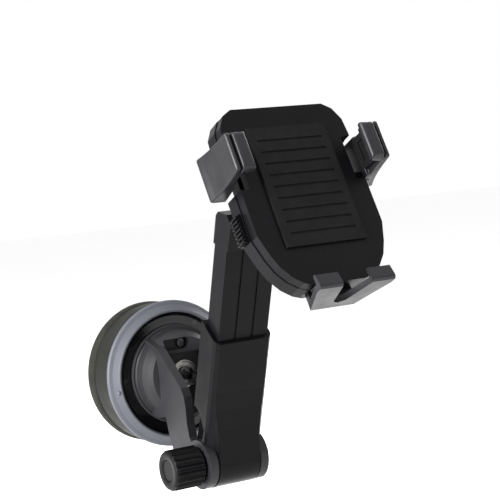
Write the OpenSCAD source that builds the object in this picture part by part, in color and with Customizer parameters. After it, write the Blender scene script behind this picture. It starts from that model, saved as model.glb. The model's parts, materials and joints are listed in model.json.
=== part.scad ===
// Car phone mount: suction base, hinged telescopic arm, ball joint and squeeze cradle.
// The suction face is the plane y = 0 and faces +Y. The cradle is in front, towards -Y.

/* [Suction base] */
// radius of the rubber cup's rim
cup_r = 39; // [34:0.5:42]
// radius of the grey locking ring
lock_r = 40; // [39.5:0.5:44]
// depth of the base, from the suction face to the locking ring's lip
base_depth = 31.8; // [30:0.2:36]

/* [Arm] */
// distance from the suction face to the arm's hinge
hinge_fwd = 78.2; // [74:0.2:84]
// height of the arm's hinge below the base's axis
hinge_drop = 42.7; // [38:0.1:48]
// angle of the arm forward from upright
arm_lean = 21; // [10:1:35]
// width of the outer sleeve
sleeve_w = 33.6; // [32:0.2:38]
// depth of the outer sleeve
sleeve_d = 16; // [15:0.5:18]
// length from the hinge to the sleeve's front top edge
sleeve_len = 69.5; // [60:0.5:80]
// length from the hinge to the bottom of the head block
slider_len = 119; // [110:1:130]

/* [Cradle] */
// angle of the cradle back from upright
cradle_tilt = 25.5; // [10:0.5:35]
// width of the phone that the clamps hold
phone_w = 71; // [66:0.5:76]
// thickness of the phone
phone_t = 7.7; // [7:0.1:9]
// height of the phone
phone_h = 143.6; // [136:0.1:152]
// height of a clamp arm
clamp_h = 22; // [16:1:24]

/* [Hidden] */
$fn = 64;
gap = 0.3;
grip_teeth = 16;

hinge_r = 13;
barrel_half = 12;
ear_in = 12.7;
ear_out = 17.4;
bolt_r = 3;

slider_w = sleeve_w - 4.8;
slider_d = sleeve_d - 4.5;
slide_y0 = -3;
sleeve_y0 = slide_y0 - 2.3;
sleeve_y1 = sleeve_y0 + sleeve_d;
slide_y1 = slide_y0 + slider_d;
slider_end = 50;
channel_end = 30;

dome_top = 43.6;
valley_floor = 41;
recess_floor = 38.4;
screw_z = 17.2;

ball_r = 8.5;
// the phone's centre on its glass, and the ball's centre measured from there
phone_y = -177;
phone_z = 117;
ball_back = 40.5;
ball_down = 20.5;
ball_y = phone_y + ball_back * cos(cradle_tilt) - ball_down * sin(cradle_tilt);
ball_z = phone_z - ball_back * sin(cradle_tilt) - ball_down * cos(cradle_tilt);
stem_len = 16.5;

body_front = 9.4;
body_split = 15;
body_back = ball_back - stem_len;
clamp_z0 = -18;
clamp_mid = clamp_z0 + clamp_h / 2;
half_w = phone_w / 2;
rack_z = -7;
tooth_pitch = PI;
pinion_teeth = 10;
pinion_r = pinion_teeth / 2;
rack_y0 = 14;
rack_t = 3;
button_z = -34.5;
button_h = 14;
foot_z = -phone_h / 2 - 4.2;

// local z runs forward, away from the suction face
module forward(y0) {
    translate([0, -y0, 0]) rotate([90, 0, 0]) children();
}

// the hinge's frame: local z runs up the arm, local x along the hinge
module on_arm() {
    translate([0, -hinge_fwd, -hinge_drop]) rotate([arm_lean, 0, 0]) children();
}

// the ball's frame: local z points at the cradle
module on_ball() {
    translate([0, ball_y, ball_z]) rotate([90 - cradle_tilt, 0, 0]) children();
}

// the cradle's frame: local y is depth behind the phone's glass, local z runs up the phone
module on_cradle() {
    translate([0, phone_y, phone_z]) rotate([-cradle_tilt, 0, 0]) children();
}

// a profile drawn in (y, z), made thick from x0 to x1
module along_x(x0, x1) {
    translate([x0, 0, 0]) rotate([90, 0, 90]) linear_extrude(x1 - x0) children();
}

// a profile drawn in (x, z), made thick from y0 to y1
module along_y(y0, y1) {
    translate([0, y1, 0]) rotate([90, 0, 0]) linear_extrude(y1 - y0) children();
}

// a rod along x
module rod_x(x0, x1, r) {
    translate([x0, 0, 0]) rotate([0, 90, 0]) cylinder(r = r, h = x1 - x0);
}

// a rectangle with round corners, drawn from its lower left corner
module round_rect(w, h, r) {
    hull() {
        for (x = [r, w - r], y = [r, h - r]) translate([x, y]) circle(r = r);
    }
}

// ---------------------------------------------------------------- suction base

module gel_pad() {
    color([0.32, 0.32, 0.27]) forward(0) cylinder(r = cup_r - 3, h = 1.2);
}

module suction_cup() {
    color([0.20, 0.20, 0.18]) forward(0) rotate_extrude() polygon([
        [0, 1.2], [cup_r - 3, 1.2], [cup_r - 3, 0], [cup_r - 0.6, 0], [cup_r, 1], [cup_r, 5.5],
        [cup_r - 1.2, 7.5], [cup_r - 5, 8], [30, 8], [26, 6], [14, 5], [0, 5]]);
}

module base_housing() {
    color([0.10, 0.10, 0.11]) forward(0) difference() {
        rotate_extrude() polygon([
            [cup_r - 5, 8], [cup_r - 1.6, 8], [cup_r - 0.6, 9.4], [cup_r, 24.8], [cup_r - 0.6, 25.7],
            [33, 25.7], [33, 26.5], [6.3, 26.5], [6.3, 13], [9, 13], [9, 24],
            [31, 24], [cup_r - 3, 23], [cup_r - 3, 10], [cup_r - 5, 10]]);
        for (a = [60, 180, 300]) rotate(a) translate([30, 0, 22]) cylinder(r = 1.3, h = 6);
    }
}

module lock_ring() {
    color([0.72, 0.73, 0.76]) forward(0) {
        rotate_extrude() polygon([
            [36, 26], [lock_r - 0.5, 26], [lock_r, 26.4], [lock_r, 28], [lock_r - 0.4, 28.5],
            [34.9, base_depth], [34, base_depth], [33.4, base_depth - 0.6], [33.4, 29], [36, 27.6]]);
        rotate(189) translate([35.7, 0, 30.6]) sphere(r = 1.6);
    }
}

module front_collar() {
    color([0.05, 0.05, 0.05]) forward(0) difference() {
        rotate_extrude() polygon([
            [27.2, 26.5], [33, 26.5], [33, 29.6], [32.2, 30.4], [31.6, 29.6], [27.2, 29.6]]);
        for (a = [60, 180, 300]) rotate(a) translate([30, 0, 26]) cylinder(r = 1.3, h = 6);
    }
}

// side outline of one cheek in (y, z), from the dome down and forward to the hinge
module cheek_outline() {
    polygon([[-31, 21], [-38, 19], [-46, 15.5], [-57, 5.5], [-67, -3.6], [-69.3, -8], [-70, -14],
        [-69.8, -22],
        [-71, -29], [-75, -34], [-72, -53.5], [-64, -50.4], [-56.5, -44], [-52, -38], [-49, -30],
        [-46.8, -20], [-41, -21],
        [-31, -21]]);
}

module yoke() {
    color([0.27, 0.27, 0.29]) difference() {
        union() {
            forward(0) rotate_extrude() polygon([
                [0, 26.5], [27, 26.5], [27, 31], [26.3, 31.6], [25.4, 31.6], [24.8, 32.4], [24, 37],
                [22.5, 41], [20.5, 43], [18, dome_top], [0, dome_top]]);
            for (s = [0, 1]) mirror([s, 0, 0]) {
                along_x(ear_in, ear_out) cheek_outline();
                translate([0, -hinge_fwd, -hinge_drop]) rod_x(ear_in, ear_out, hinge_r - 0.2);
            }
            along_x(-ear_in, ear_in) polygon([[-31, -12], [-46, -13], [-50, -22], [-46.5, -22],
                [-31, -20]]);
        }
        translate([0, -hinge_fwd, -hinge_drop]) rod_x(-30, 30, bolt_r + 0.05);
        forward(20) cylinder(r = 6.3, h = 30);
        forward(38.8) cylinder(r = 8.3, h = 10);
        // valley between the cheeks, and the recess for the small screw above it
        translate([-ear_in, -60, -30]) cube([2 * ear_in, 60 - valley_floor, 42.4]);
        translate([0, 0, screw_z]) forward(30) cylinder(r = 1.2, h = 20);
        forward(recess_floor) hull() {
            translate([0.6, screw_z]) cylinder(r = 3.1, h = 10, $fn = 32);
            translate([-10, screw_z - 1.6]) cylinder(r = 1.6, h = 10, $fn = 32);
            translate([-10, screw_z + 1.2]) cylinder(r = 1.6, h = 10, $fn = 32);
        }
    }
}

module housing_screws() {
    color([0.30, 0.30, 0.31]) {
        translate([0, 0, screw_z]) forward(32) difference() {
            union() {
                cylinder(r = 1.2, h = 6.4);
                translate([0, 0, 6.4]) cylinder(r = 2.3, h = 1.3);
            }
            for (a = [0, 90]) rotate(a) translate([-1.4, -0.25, 7]) cube([2.8, 0.5, 2]);
        }
        forward(0) for (a = [60, 180, 300]) rotate(a) translate([30, 0, 22.4]) cylinder(r = 1.3, h = 7.2);
    }
}

module pull_stud() {
    color([0.13, 0.13, 0.14]) forward(0) difference() {
        union() {
            translate([0, 0, 8.3]) cylinder(r = 20, h = 2);
            translate([0, 0, 8.3]) cylinder(r = 6, h = 31);
        }
        translate([0, 0, 27]) cylinder(r = 2, h = 20);
    }
}

module stud_spring() {
    color([0.55, 0.55, 0.55]) forward(0) for (k = [0 : 2]) translate([0, 0, 14.5 + 2.6 * k])
        rotate_extrude() translate([11, 0]) circle(r = 0.7, $fn = 16);
}

module stud_washer() {
    color([0.62, 0.62, 0.60]) forward(39.3) difference() {
        union() {
            cylinder(r = 7.8, h = 1.6);
            translate([0, 0, 1.6]) cylinder(r1 = 7.2, r2 = 6.2, h = 0.8);
        }
        cylinder(r = 2, h = 10, center = true);
        translate([0, 0, 1.5]) cylinder(r = 5.2, h = 3);
    }
}

module centre_screw() {
    color([0.16, 0.16, 0.17]) forward(0) difference() {
        union() {
            translate([0, 0, 27.5]) cylinder(r = 2, h = 14);
            translate([0, 0, 40.8]) cylinder(r = 4.3, h = 1.2);
            translate([0, 0, 42]) intersection() {
                translate([0, 0, -4.1]) sphere(r = 5.94);
                cylinder(r = 4.3, h = 4);
            }
        }
        for (a = [0, 90]) rotate(a) translate([-1.8, -0.4, 42.6]) cube([3.6, 0.8, 3]);
    }
}

// ---------------------------------------------------------------- hinge

module hinge_bolt() {
    color([0.14, 0.14, 0.15]) translate([0, -hinge_fwd, -hinge_drop]) {
        rod_x(-29, ear_out, bolt_r);
        rod_x(ear_out, ear_out + 1.2, 6.6);
        rod_x(ear_out + 1.2, ear_out + 3.6, 6.1);
        translate([ear_out + 3.6, 0, 0]) rotate([0, 90, 0]) intersection() {
            translate([0, 0, -5.2]) sphere(r = 8.02);
            cylinder(r = 6.1, h = 5);
        }
    }
}

module friction_washers() {
    color([0.65, 0.62, 0.52]) translate([0, -hinge_fwd, -hinge_drop]) for (s = [0, 1]) mirror([s, 0, 0])
        difference() {
            rod_x(barrel_half + 0.1, ear_in, 8);
            rod_x(barrel_half - 1, ear_in + 1, bolt_r);
        }
}

module hinge_knob() {
    color([0.11, 0.11, 0.12]) translate([0, -hinge_fwd, -hinge_drop]) difference() {
        union() {
            rod_x(-34.6, -18.6, 10.7);
            rod_x(-35.8, -34.6, 10.1);
            rod_x(-18.6, -ear_out - 0.2, 9.4);
        }
        for (a = [0 : 360 / grip_teeth : 359]) rotate([a, 0, 0]) translate([0, 0, 11.3])
            rod_x(-34, -17, 1.5);
        rod_x(-29.2, -10, bolt_r + 0.05);
        rod_x(-40, -34.2, 5.6);
    }
}

module knob_cap() {
    color([0.16, 0.16, 0.17]) translate([0, -hinge_fwd, -hinge_drop]) {
        rod_x(-35.3, -34.2, 5.2);
    }
}

// ---------------------------------------------------------------- arm

// side outline of the sleeve in the arm's frame; its front sweeps out to the hinge barrel
module sleeve_outline() {
    union() {
        circle(r = hinge_r);
        polygon([[sleeve_y0, sleeve_len], [sleeve_y0, 42], [-6, 32], [-7.8, 22], [-10.4, 11], [-12.7, 2.6],
            [0, 0], [12.9, 0.5], [12.2, 14], [sleeve_y1, 30], [sleeve_y1, sleeve_len + 7.2],
            [sleeve_y0 + 9, sleeve_len + 3.8]]);
    }
}

// the sleeve seen down the arm: full width at the back, narrower where the barrel comes forward
module sleeve_plan() {
    side = [[barrel_half, -14], [barrel_half, -9], [13.6, -6.2], [14.8, -4.9], [16, -3.8],
        [sleeve_w / 2, -2], [sleeve_w / 2, 14]];
    polygon([for (p = side) p, for (i = [len(side) - 1 : -1 : 0]) [-side[i][0], side[i][1]]]);
}

module sleeve() {
    color([0.07, 0.07, 0.08]) on_arm() difference() {
        intersection() {
            along_x(-sleeve_w / 2, sleeve_w / 2) sleeve_outline();
            translate([0, 0, -20]) linear_extrude(120) sleeve_plan();
        }
        for (s = [0, 1]) mirror([s, 0, 0]) {
            translate([barrel_half, 0, 0]) rod_x(0, 10, hinge_r + gap);
            // the side walls are cut back above the ears, so that the arm can fold
            along_x(ear_in - 0.7, 20) polygon([[13.4, 0], [0, 13.2], [-1, 20], [4, 26], [7, 28.6],
                [sleeve_y1 + 1, 29.5], [20, 0]]);
        }
        translate([-slider_w / 2 - 0.2, slide_y0 - 0.2, channel_end])
            cube([slider_w + 0.4, slider_d + 0.4, 80]);
        rod_x(-30, 30, bolt_r + 0.05);
    }
}

module slider() {
    color([0.13, 0.13, 0.14]) on_arm() difference() {
        translate([-slider_w / 2, slide_y0, slider_end])
            cube([slider_w, slider_d, slider_len - slider_end]);
        for (x = [-5, 5]) translate([x - 0.7, slide_y0 - 1, slider_end - 1]) cube([1.4, 1.6, 90]);
        translate([-slider_w / 2 + 2, slide_y0 + 2, slider_end - 1])
            cube([slider_w - 4, slider_d - 4, slider_len - slider_end - 6]);
    }
}

// head block, neck and the cup that takes the ball
module head_socket() {
    color([0.08, 0.08, 0.09]) difference() {
        union() {
            on_arm() intersection() {
                along_x(-15.2, 15.2) polygon([[-5, slider_len], [9, slider_len], [10.4, slider_len + 3],
                    [10.4, slider_len + 13], [7, slider_len + 17], [-1, slider_len + 18],
                    [-6, slider_len + 14]]);
                translate([-15.2, -10, slider_len - 1]) linear_extrude(30) round_rect(30.4, 21, 3);
            }
            on_ball() translate([0, 0, -22]) cylinder(r = 8.5, h = 12);
            on_ball() translate([0, 0, -12.5]) cylinder(r1 = 9, r2 = 11.5, h = 2.5);
            on_ball() translate([0, 0, -10]) cylinder(r = 11.5, h = 12);
        }
        on_ball() sphere(r = ball_r + 1.1);
        on_ball() cylinder(r = ball_r + 1.1, h = 10);
        on_arm() translate([-slider_w / 2 - 5, -20, slider_len - 20]) cube([slider_w + 10, 40, 20]);
    }
}

module collar_nut() {
    color([0.09, 0.09, 0.10]) on_ball() difference() {
        union() {
            translate([0, 0, -6]) cylinder(r = 14.6, h = 11);
            translate([0, 0, 5]) cylinder(r1 = 14.6, r2 = 13.4, h = 1.5);
        }
        translate([0, 0, -7]) cylinder(r = 11.8, h = 11.4);
        cylinder(r = 8.2, h = 20);
        for (a = [0 : 15 : 359]) rotate(a) translate([15.1, 0, -7]) cylinder(r = 1, h = 10.5);
    }
}

module ball_seat() {
    color([0.75, 0.75, 0.72]) on_ball() difference() {
        intersection() {
            sphere(r = ball_r + 1);
            translate([0, 0, -5.5]) cylinder(r = 12, h = 6.5);
        }
        sphere(r = ball_r + 0.05);
    }
}

module ball_stud() {
    color([0.06, 0.06, 0.07]) on_ball() union() {
        sphere(r = ball_r);
        cylinder(r = 4.2, h = stem_len - 0.1);
        translate([0, 0, stem_len - 2.1]) cylinder(r = 9, h = 2);
    }
}

// ---------------------------------------------------------------- cradle

// outline of the cradle's body in (x, z): wide at the clamps, a tongue towards the foot
module body_outline(inset = 0) {
    polygon([for (s = [-1, 1], p = (s < 0) ? body_side() : [for (i = [len(body_side()) - 1 : -1 : 0])
        body_side()[i]])
        [s * (p[0] - inset), p[1]]]);
}
function body_side() = [[26, 23], [31, 20], [34.5, 14], [35.2, 6], [35.2, -42], [32, -52], [29, -58.5],
    [24.5, -64], [19.5, -67.5], [15, -69]];

module rail_slots() {
    // the racks and the pinion run in one pocket, open at both sides
    translate([-60, rack_y0 - 0.3, rack_z - pinion_r - 6.4]) cube([120, rack_t + 0.6, 2 * pinion_r + 12.8]);
}

// the clamps close into these pockets when there is no phone
module clamp_pocket(s) {
    mirror([s, 0, 0]) translate([29.6, 0, clamp_z0 - 0.5]) cube([30, 40, clamp_h + 1]);
}

module button_pocket(s) {
    mirror([s, 0, 0]) translate([28.5, body_split + 0.8, button_z - button_h / 2 - gap])
        cube([20, 6.4 + 0.6, button_h + 2 * gap]);
}

module foot_slot() {
    translate([-12.3, 19.7, -100]) cube([24.6, 3.1, 62]);
}

module cradle_back() {
    color([0.06, 0.06, 0.07]) on_cradle() difference() {
        union() {
            along_y(body_split, body_back - 1.6) body_outline();
            along_y(body_back - 1.6, body_back) body_outline(1.6);
        }
        rail_slots();
        for (s = [0, 1]) button_pocket(s);
        for (s = [0, 1]) clamp_pocket(s);
        foot_slot();
        translate([0, 0, rack_z]) rotate([-90, 0, 0]) cylinder(r = 2.05, h = 22);
        for (x = [-20, 20], z = [16, -52]) translate([x, 0, z]) rotate([-90, 0, 0])
            cylinder(r = 1.3, h = 40);
    }
}

module cradle_front() {
    color([0.08, 0.08, 0.09]) on_cradle() difference() {
        along_y(body_front, body_split) body_outline(0.5);
        rail_slots();
        for (s = [0, 1]) clamp_pocket(s);
        translate([0, 0, rack_z]) rotate([-90, 0, 0]) translate([0, 0, 12]) cylinder(r = 2.05, h = 22);
        for (x = [-20, 20], z = [16, -52]) translate([x, 11.5, z]) rotate([-90, 0, 0])
            cylinder(r = 1.3, h = 40);
        translate([-22, body_front - 1, -50]) cube([44, 1.7, 62]);
    }
}

module back_pad() {
    color([0.04, 0.04, 0.04]) on_cradle() difference() {
        translate([-21.8, phone_t + 0.2, -49.8]) cube([43.6, body_front + 0.5 - phone_t, 61.6]);
        for (z = [-44 : 6 : 8]) translate([-18, phone_t - 0.4, z]) cube([36, 1.1, 1.2]);
    }
}

module cradle_screws() {
    color([0.30, 0.30, 0.31]) on_cradle() for (x = [-20, 20], z = [16, -52]) translate([x, 0, z])
        rotate([-90, 0, 0]) difference() {
            union() {
                translate([0, 0, 12.5]) cylinder(r = 1.3, h = body_back - 12.5);
                translate([0, 0, body_back]) cylinder(r = 2.3, h = 0.9);
            }
            for (a = [0, 90]) rotate(a) translate([-1.4, -0.25, body_back + 0.3]) cube([2.8, 0.5, 2]);
        }
}

module pinion() {
    color([0.80, 0.80, 0.76]) on_cradle() translate([0, rack_y0, rack_z]) rotate([-90, 0, 0]) difference() {
        linear_extrude(rack_t) union() {
            circle(r = pinion_r - 1.05);
            for (k = [0 : pinion_teeth - 1]) rotate(360 / pinion_teeth * k)
                polygon([[pinion_r - 2, -0.95], [pinion_r - 1.1, -0.85], [pinion_r, -0.62],
                    [pinion_r + 0.75, -0.3],
                    [pinion_r + 0.75, 0.3], [pinion_r, 0.62], [pinion_r - 1.1, 0.85],
                    [pinion_r - 2, 0.95]]);
        }
        translate([0, 0, -1]) cylinder(r = 2.05, h = 10);
    }
}

module pinion_axle() {
    color([0.6, 0.6, 0.6]) on_cradle() translate([0, 12.2, rack_z]) rotate([-90, 0, 0])
        cylinder(r = 2, h = 8);
}

// a rack's outline in (x, z) with its teeth pointing down at the pinion's pitch line z = 0
module rack_outline(x0, x1) {
    translate([x0, 1.05]) square([x1 - x0, 4.6]);
    for (k = [-5 : 5]) if (k * tooth_pitch - 1 > x0 && k * tooth_pitch + 1 < x1)
        translate([k * tooth_pitch, 0])
            polygon([[-0.95, 1.1], [-0.55, 0], [-0.3, -0.7], [0.3, -0.7], [0.55, 0], [0.95, 1.1]]);
}

module rack_left() {
    color([0.12, 0.12, 0.13]) on_cradle() translate([0, 0, rack_z + pinion_r])
        along_y(rack_y0, rack_y0 + rack_t) rack_outline(-half_w - 4.5, 13);
}

module rack_right() {
    color([0.12, 0.12, 0.13]) on_cradle() translate([0, 0, rack_z - pinion_r]) mirror([0, 0, 1])
        along_y(rack_y0, rack_y0 + rack_t) rack_outline(-13, half_w + 4.5);
}

// a clamp's outline in (x, y), seen from above, for the right-hand side
module clamp_outline() {
    polygon([[half_w + 2.4, -1.4], [half_w - 3, -2], [half_w - 3.7, -3.4], [half_w - 3.4, -5.2],
        [half_w - 2.2, -6.2],
        [half_w + 2.4, -6.4], [half_w + 3.4, -5.8], [half_w + 3.6, -3.8], [half_w + 4.4, -3.8],
        [half_w + 4.7, -5.2], [half_w + 6, -5.4], [half_w + 6.9, -4.4], [half_w + 6.9, 1],
        [half_w + 7.1, 7],
        [half_w + 7.8, 12], [half_w + 8.8, 16.4], [half_w + 9.9, 19.6], [half_w + 9.5, 21],
        [half_w + 7.6, 21.6], [half_w + 1, 21.6], [half_w + 1, 9.6], [half_w + 2.4, 9.4]]);
}

// a clamp seen from the side in (y, z): lower at the back than at the lip
module clamp_side() {
    hull() {
        for (p = [[-4, clamp_z0 + clamp_h - 2.4], [19.4, clamp_z0 + clamp_h - 2.2], [19.4, clamp_z0 + 2.2],
            [-4, clamp_z0 + 5.2]]) translate(p) circle(r = 2.4, $fn = 32);
    }
}

module clamp(s) {
    mirror([s, 0, 0]) difference() {
        intersection() {
            translate([0, 0, clamp_z0]) linear_extrude(clamp_h) clamp_outline();
            along_x(half_w - 12, half_w + 20) clamp_side();
            along_y(-10, 25) translate([half_w - 3.7, clamp_z0]) round_rect(40, clamp_h, 2.6);
        }
        // seat for the rack's end
        translate([half_w - 2, rack_y0, s == 0 ? rack_z - pinion_r - 5.65 : rack_z + pinion_r + 1.05])
            cube([6.5, rack_t, 4.6]);
    }
}

module clamp_left() {
    color([0.30, 0.30, 0.32]) on_cradle() clamp(1);
}

module clamp_right() {
    color([0.30, 0.30, 0.32]) on_cradle() clamp(0);
}

module clamp_pad(s) {
    mirror([s, 0, 0]) difference() {
        translate([0, 0, clamp_z0 + 4]) linear_extrude(clamp_h - 6) polygon([[half_w + 0.2, -0.3],
            [half_w - 2.6, -0.6],
            [half_w - 3, -2], [half_w + 2.4, -1.4], [half_w + 2.4, 9], [half_w + 0.2, 9]]);
        translate([half_w - 1, 2, clamp_mid - 4]) cube([1.9, 5, 10]);
    }
}

module pad_left() {
    color([0.03, 0.03, 0.03]) on_cradle() clamp_pad(1);
}

module pad_right() {
    color([0.03, 0.03, 0.03]) on_cradle() clamp_pad(0);
}

module button(s) {
    mirror([s, 0, 0]) difference() {
        translate([31, body_split + 1.1, button_z - button_h / 2]) union() {
            cube([5.6, 6.4, button_h]);
            for (k = [0 : 6]) translate([5.5, 0, 0.5 + 2 * k]) cube([1.3, 6.4, 1]);
        }
        translate([30, body_split + 4.3, button_z]) rod_x(0, 5, 2);
    }
}

module button_left() {
    color([0.10, 0.10, 0.11]) on_cradle() button(1);
}

module button_right() {
    color([0.10, 0.10, 0.11]) on_cradle() button(0);
}

module button_springs() {
    color([0.55, 0.55, 0.55]) on_cradle() for (s = [0, 1]) mirror([s, 0, 0]) for (k = [0 : 3])
        translate([29.2 + 1.2 * k, body_split + 4.3, button_z]) rotate([0, 90, 0])
            rotate_extrude() translate([1.4, 0]) circle(r = 0.3, $fn = 16);
}

module foot() {
    color([0.24, 0.24, 0.25]) on_cradle() {
        // plate that slides in the body
        translate([-12, 19.9, foot_z]) cube([24, 2.7, 30]);
        // floor, forked for the charging plug
        difference() {
            translate([0, 0, foot_z]) linear_extrude(3) polygon([[-12, 22.6], [-13, 20], [-20.5, 1],
                [-20.5, -2.4],
                [-8.2, -2.4], [-3.4, 15.4], [0, 17.4], [3.4, 15.4], [8.2, -2.4],
                [20.5, -2.4], [20.5, 1], [13, 20], [12, 22.6]]);
        }
        // lips over the phone's lower edge
        for (s = [0, 1]) mirror([s, 0, 0]) along_x(8.2, 20.5)
            polygon([[-2.4, foot_z], [-1, foot_z], [-0.8, foot_z + 3], [-0.5, foot_z + 6.8],
                [-1.3, foot_z + 7.6],
                [-2.2, foot_z + 7.2], [-3.6, foot_z + 2], [-3.4, foot_z + 0.8]]);
    }
}

module foot_pads() {
    color([0.03, 0.03, 0.03]) on_cradle() for (s = [0, 1]) mirror([s, 0, 0])
        translate([9.5, 0, foot_z + 3]) cube([9.5, 7, 0.9]);
}

gel_pad();
suction_cup();
base_housing();
lock_ring();
front_collar();
yoke();
housing_screws();
pull_stud();
stud_spring();
stud_washer();
centre_screw();
hinge_bolt();
friction_washers();
hinge_knob();
knob_cap();
sleeve();
slider();
head_socket();
collar_nut();
ball_seat();
ball_stud();
cradle_back();
cradle_front();
back_pad();
cradle_screws();
pinion();
pinion_axle();
clamp_left();
clamp_right();
pad_left();
pad_right();
rack_left();
rack_right();
button_left();
button_right();
button_springs();
foot();
foot_pads();
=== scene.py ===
import json
import math

import bmesh
import bpy
from mathutils import Matrix, Vector


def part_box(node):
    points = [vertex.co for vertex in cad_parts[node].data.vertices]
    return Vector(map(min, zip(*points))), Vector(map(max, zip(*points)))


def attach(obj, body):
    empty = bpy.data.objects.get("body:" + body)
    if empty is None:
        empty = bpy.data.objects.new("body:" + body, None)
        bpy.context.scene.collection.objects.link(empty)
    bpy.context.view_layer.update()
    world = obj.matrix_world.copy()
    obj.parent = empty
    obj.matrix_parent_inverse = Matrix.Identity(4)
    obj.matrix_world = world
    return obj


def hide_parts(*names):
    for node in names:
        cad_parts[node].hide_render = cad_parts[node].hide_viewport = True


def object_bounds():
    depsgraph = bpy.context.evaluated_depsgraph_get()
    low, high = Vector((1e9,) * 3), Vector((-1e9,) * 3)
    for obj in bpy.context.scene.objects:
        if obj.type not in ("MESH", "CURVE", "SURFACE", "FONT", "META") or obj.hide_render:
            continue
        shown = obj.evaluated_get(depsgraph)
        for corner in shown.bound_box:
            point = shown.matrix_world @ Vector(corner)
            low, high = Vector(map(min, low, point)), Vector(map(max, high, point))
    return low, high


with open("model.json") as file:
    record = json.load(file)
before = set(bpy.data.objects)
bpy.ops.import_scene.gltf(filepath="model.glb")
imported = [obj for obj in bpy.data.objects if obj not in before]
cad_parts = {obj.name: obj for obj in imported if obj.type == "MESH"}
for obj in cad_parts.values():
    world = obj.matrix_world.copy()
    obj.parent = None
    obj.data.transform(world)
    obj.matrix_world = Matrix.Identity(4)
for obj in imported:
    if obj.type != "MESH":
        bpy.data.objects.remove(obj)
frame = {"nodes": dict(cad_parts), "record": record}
cad_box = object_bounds()
nodes = frame["nodes"]


# ------------------------------------------------------------------ materials


def new_material(name, color, roughness, specular=0.5):
    """A Principled material; its constants sit on the shader's own sockets."""
    mat = bpy.data.materials.new(name)
    mat.use_nodes = True
    tree = mat.node_tree
    shader = tree.nodes["Principled BSDF"]
    shader.inputs["Base Color"].default_value = (*color, 1)
    shader.inputs["Roughness"].default_value = roughness
    shader.inputs["Specular IOR Level"].default_value = specular
    return mat, tree, shader


def noise(tree, scale, detail):
    """Noise in the part's own coordinates, in metres."""
    coords = tree.nodes.new("ShaderNodeTexCoord")
    tex = tree.nodes.new("ShaderNodeTexNoise")
    tex.inputs["Scale"].default_value = scale
    tex.inputs["Detail"].default_value = detail
    tree.links.new(coords.outputs["Object"], tex.inputs["Vector"])
    return tex.outputs["Fac"]


def ramp(tree, fac, low, high, a, b):
    """Colour ramp from a at low to b at high."""
    node = tree.nodes.new("ShaderNodeValToRGB")
    node.color_ramp.elements[0].position = low
    node.color_ramp.elements[0].color = a
    node.color_ramp.elements[1].position = high
    node.color_ramp.elements[1].color = b
    tree.links.new(fac, node.inputs["Fac"])
    return node.outputs["Color"]


def vary(tree, shader, color, amount, scale=60):
    """Slow mottling of the base colour."""
    darker = (*[c * (1 - amount) for c in color], 1)
    lighter = (*[c * (1 + amount) for c in color], 1)
    out = ramp(tree, noise(tree, scale, 4), 0.3, 0.7, darker, lighter)
    tree.links.new(out, shader.inputs["Base Color"])


def vary_roughness(tree, shader, roughness, amount, scale=90):
    """Handling marks: slow and fine changes of gloss."""
    low, high = roughness - amount, roughness + amount
    out = ramp(tree, noise(tree, scale, 8), 0.35, 0.65, (low, low, low, 1), (high, high, high, 1))
    tree.links.new(out, shader.inputs["Roughness"])


def bump(tree, shader, height, strength):
    """Fine relief of a tenth of a millimetre at full strength."""
    node = tree.nodes.new("ShaderNodeBump")
    node.inputs["Strength"].default_value = strength
    node.inputs["Distance"].default_value = 0.0001
    tree.links.new(height, node.inputs["Height"])
    tree.links.new(node.outputs["Normal"], shader.inputs["Normal"])


def plastic(name, color, roughness, grain=0.25, grain_scale=2600, mottle=0.10, specular=0.5):
    """Moulded plastic with a fine spark-eroded grain."""
    mat, tree, shader = new_material(name, color, roughness, specular)
    vary(tree, shader, color, mottle)
    vary_roughness(tree, shader, roughness, 0.06)
    bump(tree, shader, noise(tree, grain_scale, 2), grain)
    return mat


def rubber(name, color, roughness=0.72):
    """Matt rubber with a slightly dusty surface."""
    mat, tree, shader = new_material(name, color, roughness, 0.12)
    vary(tree, shader, color, 0.22, 140)
    vary_roughness(tree, shader, roughness, 0.08, 220)
    bump(tree, shader, noise(tree, 900, 6), 0.3)
    return mat


def metal(name, color, roughness):
    """Bare or blackened metal with a fine, even grain."""
    mat, tree, shader = new_material(name, color, roughness)
    shader.inputs["Metallic"].default_value = 1.0
    vary_roughness(tree, shader, roughness, 0.10, 400)
    bump(tree, shader, noise(tree, 1500, 3), 0.25)
    return mat


BLACK = plastic("black_satin", (0.0030, 0.0030, 0.0035), 0.33, specular=0.08)
SLEEVE = plastic("sleeve_satin", (0.0024, 0.0024, 0.0028), 0.28, 0.15, specular=0.07)
SLIDER = plastic("slider_satin", (0.0034, 0.0034, 0.0039), 0.33, 0.2, specular=0.07)
GREY = plastic("charcoal_satin", (0.0092, 0.0092, 0.0106), 0.36, 0.2, specular=0.24)
YOKE = plastic("yoke_charcoal", (0.0130, 0.0130, 0.0145), 0.42, specular=0.16)
RING = plastic("ring_grey", (0.054, 0.057, 0.068), 0.46, 0.10, 1800, 0.04, specular=0.3)
GLOSS = plastic("gloss_black", (0.003, 0.003, 0.0035), 0.16, 0.05, specular=0.4)
HOUSING = plastic("housing_olive", (0.0062, 0.0062, 0.0052), 0.55, 0.3, specular=0.10)
CUP = rubber("cup_rubber", (0.0105, 0.0105, 0.0084))
GEL = rubber("gel", (0.030, 0.029, 0.023), 0.35)
PAD = rubber("pad_rubber", (0.003, 0.003, 0.003), 0.62)
SCREW = metal("black_oxide", (0.045, 0.045, 0.047), 0.34)
WASHER = metal("turned_steel", (0.27, 0.265, 0.25), 0.32)
STEEL = metal("drawn_steel", (0.40, 0.40, 0.38), 0.28)
NYLON = plastic("nylon", (0.22, 0.21, 0.18), 0.5, 0.2)

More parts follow.
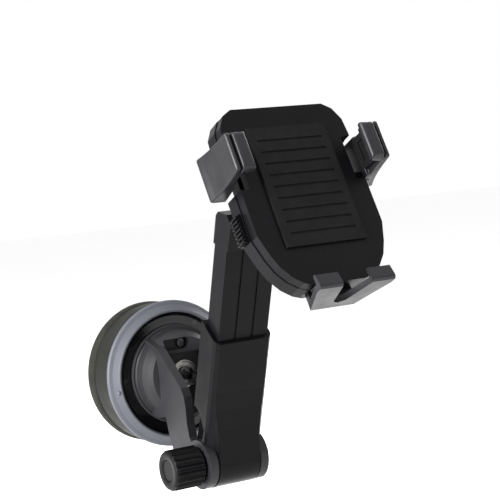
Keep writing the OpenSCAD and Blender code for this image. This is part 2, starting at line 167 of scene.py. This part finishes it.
FINISH = {
    "gel_pad": GEL, "suction_cup": CUP, "base_housing": HOUSING, "lock_ring": RING,
    "front_collar": GLOSS, "yoke": YOKE, "housing_screws": SCREW, "pull_stud": BLACK,
    "stud_spring": STEEL, "stud_washer": WASHER, "centre_screw": SCREW, "hinge_bolt": SCREW,
    "friction_washers": NYLON, "hinge_knob": BLACK, "knob_cap": BLACK, "sleeve": SLEEVE,
    "slider": SLIDER, "head_socket": BLACK, "collar_nut": BLACK, "ball_seat": NYLON,
    "ball_stud": GLOSS, "cradle_back": BLACK, "cradle_front": BLACK, "back_pad": PAD,
    "cradle_screws": SCREW, "pinion": NYLON, "pinion_axle": STEEL, "clamp_left": GREY,
    "clamp_right": GREY, "pad_left": PAD, "pad_right": PAD, "rack_left": BLACK,
    "rack_right": BLACK, "button_left": BLACK, "button_right": BLACK, "button_springs": STEEL,
    "foot": GREY, "foot_pads": PAD,
}
# width of the rounded edges in mm
BEVEL = {
    "yoke": 0.6, "sleeve": 0.8, "slider": 0.5, "head_socket": 0.9, "cradle_back": 0.8,
    "cradle_front": 0.5, "foot": 0.9, "base_housing": 0.4, "front_collar": 0.2,
    "button_left": 0.25, "button_right": 0.25, "collar_nut": 0.3,
}


def dress(name):
    """Gives a CAD node its finish and softens its moulded edges."""
    obj = nodes[name]
    obj.data.materials.clear()
    obj.data.materials.append(FINISH[name])
    width = BEVEL.get(name)
    if width:
        mod = obj.modifiers.new("edges", "BEVEL")
        mod.width = width / 1000
        mod.segments = 3
        mod.limit_method = "ANGLE"
        mod.angle_limit = math.radians(32)
        mod.harden_normals = True
    for poly in obj.data.polygons:
        poly.use_smooth = True
    obj.data.set_sharp_from_angle(angle=math.radians(30))


for node_name in FINISH:
    dress(node_name)


# ------------------------------------------------------------------ pieces


def add_object(name, verts, faces, material):
    """A smooth-shaded mesh object in the scene."""
    mesh = bpy.data.meshes.new(name)
    mesh.from_pydata(verts, [], faces)
    mesh.materials.append(material)
    for poly in mesh.polygons:
        poly.use_smooth = True
    obj = bpy.data.objects.new(name, mesh)
    bpy.context.scene.collection.objects.link(obj)
    return obj


def mesh_piece(name, verts, faces, node, body):
    """A piece that stands for a CAD node and moves with its body."""
    obj = add_object(name, verts, faces, FINISH[node])
    obj.data.validate()
    shape = bmesh.new()
    shape.from_mesh(obj.data)
    bmesh.ops.recalc_face_normals(shape, faces=shape.faces)
    shape.to_mesh(obj.data)
    shape.free()
    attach(obj, body)
    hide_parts(node)
    return obj


def round_corners(points, radius):
    """A closed profile with every corner turned into a small arc."""
    steps = 4
    out = []
    count = len(points)
    for i, here in enumerate(points):
        here = Vector(here)
        before, after = Vector(points[i - 1]) - here, Vector(points[(i + 1) % count]) - here
        cut = min(radius, before.length * 0.45, after.length * 0.45)
        start, end = here + before.normalized() * cut, here + after.normalized() * cut
        for k in range(steps + 1):
            t = k / steps
            out.append(start.lerp(here, t).lerp(here.lerp(end, t), t))
    return out


def swept(sections):
    """Vertices and faces of a closed tube through sections that each close on themselves."""
    verts = [v for section in sections for v in section]
    rows, count = len(sections), len(sections[0])
    faces = []
    for i in range(rows):
        for j in range(count):
            a, b = i * count + j, i * count + (j + 1) % count
            c, d = ((i + 1) % rows) * count + (j + 1) % count, ((i + 1) % rows) * count + j
            faces.append((a, d, c, b))
    return verts, faces


def lathe(name, profile, node, body, radius):
    """Turns a closed (radius, depth) profile, its corners rounded, about the suction base's axis."""
    segments = 192
    outline = round_corners(profile, radius)
    sections = []
    for i in range(segments):
        turn = 2 * math.pi * i / segments
        sections.append([(p.x * math.cos(turn), -p.y, p.x * math.sin(turn)) for p in outline])
    verts, faces = swept(sections)
    mesh_piece(name, verts, faces, node, body)


def sphere(name, centre, radius, material, body):
    """A small moulded ball, such as the stud on the ring."""
    rings, around = 10, 20
    verts, faces = [], []
    for i in range(rings + 1):
        lift = math.pi * i / rings
        for j in range(around):
            turn = 2 * math.pi * j / around
            verts.append((centre[0] + radius * math.sin(lift) * math.cos(turn),
                          centre[1] + radius * math.cos(lift),
                          centre[2] + radius * math.sin(lift) * math.sin(turn)))
    for i in range(rings):
        for j in range(around):
            a, b = i * around + j, i * around + (j + 1) % around
            faces.append((a, b, b + around, a + around))
    obj = add_object(name, verts, faces, material)
    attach(obj, body)


def build_ring():
    """The locking ring: a shallow cone with a raised lip inside and a rolled edge outside."""
    lo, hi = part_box("lock_ring")
    r = (hi[0] - lo[0]) / 2
    back, front = -hi[1], -lo[1]
    profile = [(r - 0.0040, back), (r - 0.0006, back), (r, back + 0.0005), (r, back + 0.0018),
               (r - 0.0006, back + 0.0025), (r - 0.0022, back + 0.0033), (r - 0.0047, front - 0.0007),
               (r - 0.0053, front - 0.0001), (r - 0.0060, front - 0.0001), (r - 0.0066, front - 0.0007),
               (r - 0.0066, back + 0.0030), (r - 0.0040, back + 0.0016)]
    lathe("ring_shell", profile, "lock_ring", "lock", 0.00035)
    turn, out, depth, stud_radius = math.radians(189), 0.0356, 0.0305, 0.0014
    centre = (out * math.cos(turn), -depth, out * math.sin(turn))
    sphere("ring_stud", centre, stud_radius, RING, "lock")


def build_cup():
    """The rubber cup: a thick rim round the gel's recess, its shoulder drawn in towards the housing."""
    lo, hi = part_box("suction_cup")
    r = (hi[0] - lo[0]) / 2
    front = -lo[1]
    hub = 0.0004
    profile = [(hub, 0.0012), (r - 0.0030, 0.0012), (r - 0.0030, 0.0), (r - 0.0008, 0.0),
               (r, 0.0009), (r, 0.0052), (r - 0.0007, 0.0068), (r - 0.0022, front - 0.0003),
               (r - 0.0050, front), (r - 0.0090, front), (r - 0.0130, 0.0060), (0.0140, 0.0050),
               (hub, 0.0050)]
    lathe("cup_shell", profile, "suction_cup", "base", 0.0006)


def build_knob():
    """The thumb knob: sharp-edged flutes round its grip, a plain rim and a recess for the cap."""
    lo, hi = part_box("hinge_knob")
    grip = (hi[2] - lo[2]) / 2
    centre = ((hi[1] + lo[1]) / 2, (hi[2] + lo[2]) / 2)
    ribs, steps_per_rib, flute_depth, sharpness = 18, 12, 0.0016, 1.4
    around = ribs * steps_per_rib
    x0, x1 = lo[0], hi[0]
    # station along the hinge, radius, share of the flutes' full depth
    stations = [(x0 + 0.0016, 0.0001, 0), (x0 + 0.0016, 0.0056, 0), (x0 + 0.0003, 0.0056, 0),
                (x0, 0.0060, 0), (x0, grip - 0.0015, 0), (x0 + 0.0003, grip - 0.0009, 0),
                (x0 + 0.0010, grip - 0.0004, 0.2), (x0 + 0.0016, grip, 0.8), (x0 + 0.0030, grip, 1),
                (x1 - 0.0030, grip, 1), (x1 - 0.0016, grip, 0.9), (x1 - 0.0013, grip - 0.0003, 0.4),
                (x1 - 0.0012, grip - 0.0010, 0), (x1 - 0.0012, grip - 0.0014, 0), (x1, grip - 0.0015, 0),
                (x1, 0.0040, 0), (x1, 0.0001, 0)]
    sections = []
    for x, radius, flute in stations:
        ring = []
        for j in range(around):
            turn = 2 * math.pi * j / around
            wave = abs(math.cos(ribs * turn / 2)) ** sharpness
            r = radius - flute_depth * flute * wave
            ring.append((x, centre[0] + r * math.cos(turn), centre[1] + r * math.sin(turn)))
        sections.append(ring)
    verts, faces = swept(sections)
    # the last row of faces would join the two ends along the axis
    mesh_piece("knob_grip", verts, [f[::-1] for f in faces[:-around]], "hinge_knob", "knob")


def offset(outline, amount):
    """The closed outline moved inwards by amount."""
    out = []
    count = len(outline)
    for i, here in enumerate(outline):
        along = outline[(i + 1) % count] - outline[i - 1]
        inward = Vector((-along.y, along.x)).normalized()
        out.append(here + inward * amount)
    return out


# Outlines of a clamp seen along the phone, in mm: outwards from the phone's side, behind its glass.
# They run anticlockwise for the right clamp.
LIP = [(-3, -2), (-3.7, -3.4), (-3.4, -5.2), (-2.2, -6.2), (2.4, -6.4), (3.4, -5.7), (3.7, -3.6),
       (3.7, -0.8), (2.4, -0.8)]
SHELL = [(2.4, -1.4), (3.7, -2.6), (4.3, -3.6), (4.7, -5.2), (6, -5.4), (6.9, -4.4), (6.9, 1), (7.1, 7),
         (7.8, 12), (8.8, 16.4), (9.9, 19.6), (9.5, 21), (7.6, 21.6), (1, 21.6), (1, 9.6), (2.4, 9.4)]

# The rest of a clamp's shape, in mm unless a line says otherwise
CLAMP_TOP = 4.0        # its upper end
CLAMP_FOOT = -15.2     # its lower end at the front
FOOT_DROP = 3.0        # how much further down the lower end reaches at the back
FOOT_FRONT = -6.4      # depth at which that slope starts
FOOT_RUN = 25.8        # depth over which it goes
NOSE_START = -3.6      # depth from which the front of the block rolls over
NOSE_ROLL = 2.8        # radius of that roll
NOSE_REACH = 2.75      # how far the roll is followed
GLASS_DEPTH = 0.0079   # from the phone's seat to the front of its glass, in m
CLAMP_RISE = 0.022     # from the seat's centre up to the clamps' own zero, in m


def clamp_block(name, points, side, node, body, edge):
    """One moulding of a clamp: its outline run up the phone, with both ends rolled over by edge."""
    seat = next(m for m in frame["record"]["mounts"] if m["name"] == "phone_seat")
    back = -Vector(seat["axis"])
    up = Vector((1, 0, 0)).cross(back)
    origin = Vector(seat["pos_m"]) - back * GLASS_DEPTH + up * CLAMP_RISE
    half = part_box("clamp_right")[1][0] * 1000 - max(x for x, y in SHELL)
    outline = round_corners([(half + x, y) for x, y in points], 0.8)
    sections = []
    steps = 6
    ends = [(k / steps, 0) for k in range(steps + 1)] + [(1 - k / steps, 1) for k in range(steps + 1)]
    for t, top in ends:
        inset = edge * (1 - math.sin(t * math.pi / 2))
        rise = edge * (1 - math.cos(t * math.pi / 2))
        section = []
        for p in offset(outline, inset):
            nose = max(0.0, NOSE_START - p.y)
            roll = NOSE_ROLL - math.sqrt(NOSE_ROLL ** 2 - min(nose, NOSE_REACH) ** 2)
            low = CLAMP_FOOT - FOOT_DROP * min(1.0, (p.y - FOOT_FRONT) / FOOT_RUN) + roll
            z = CLAMP_TOP - roll - rise if top else low + rise
            place = origin + (back * p.y + up * z) / 1000
            section.append((side * p.x / 1000, place.y, place.z))
        sections.append(section)
    verts, faces = swept(sections)
    count = len(outline)
    lower_end = tuple(range(count))
    upper_end = tuple(range(len(verts) - 1, len(verts) - count - 1, -1))
    obj = mesh_piece(name, verts, faces[:-count] + [lower_end, upper_end], node, body)
    obj.data.set_sharp_from_angle(angle=math.radians(50))


def build_clamps():
    """Each clamp is a deep outer shell and a lip in front of the phone, with a groove between."""
    for side, word in ((1, "right"), (-1, "left")):
        for part, points, edge in (("shell", SHELL, 0.9), ("lip", LIP, 0.8)):
            clamp_block(f"clamp_{word}_{part}", points, side, f"clamp_{word}", f"{word}_clamp", edge)


build_ring()
build_cup()
build_knob()
build_clamps()


# ------------------------------------------------------------------ stage


def add_floor(z):
    mesh = bpy.data.meshes.new("floor")
    size = 12
    corners = [(-size, -size, z), (size, -size, z), (size, size, z), (-size, size, z)]
    mesh.from_pydata(corners, [], [(0, 1, 2, 3)])
    obj = bpy.data.objects.new("floor", mesh)
    bpy.context.scene.collection.objects.link(obj)
    mesh.materials.append(new_material("floor_white", (0.97, 0.97, 0.97), 0.9, 0.05)[0])


def add_light(name, place, target, size, power):
    data = bpy.data.lights.new(name, "AREA")
    data.shape = "RECTANGLE"
    data.size, data.size_y = size
    data.energy = power
    obj = bpy.data.objects.new(name, data)
    obj.location = place
    obj.rotation_euler = (Vector(target) - Vector(place)).to_track_quat("-Z", "Y").to_euler()
    bpy.context.scene.collection.objects.link(obj)


def add_camera():
    data = bpy.data.cameras.new("camera")
    data.sensor_width = 36
    data.lens = 111.6
    data.clip_end = 100
    obj = bpy.data.objects.new("camera", data)
    place = (-0.3951, -0.7780, 0.0979)
    heading, tilt, roll = -31.05, 87.63, -5.75
    turn = (Matrix.Rotation(math.radians(heading), 4, "Z") @ Matrix.Rotation(math.radians(tilt), 4, "X")
            @ Matrix.Rotation(math.radians(roll), 4, "Z"))
    obj.matrix_world = Matrix.Translation(place) @ turn
    bpy.context.scene.collection.objects.link(obj)
    bpy.context.scene.camera = obj


def add_world(strength):
    world = bpy.data.worlds.new("studio")
    world.use_nodes = True
    back = world.node_tree.nodes["Background"]
    back.inputs["Color"].default_value = (1, 1, 1, 1)
    back.inputs["Strength"].default_value = strength
    bpy.context.scene.world = world


low, high = cad_box
middle = tuple((a + b) / 2 for a, b in zip(low, high))
floor_drop = 0.12
add_floor(low[2] - floor_drop)
add_world(1.0)
add_light("key", (-1.75, -0.25, 0.55), middle, (1.1, 1.5), 120)
add_light("fill", (1.3, -1.3, 0.7), middle, (1.4, 1.4), 3)
add_light("rim", (1.6, 0.9, 0.6), middle, (1.2, 1.2), 30)
add_light("top", (0.0, -0.1, 1.5), middle, (1.2, 1.2), 8)
add_camera()

bpy.context.scene.view_settings.view_transform = "Standard"
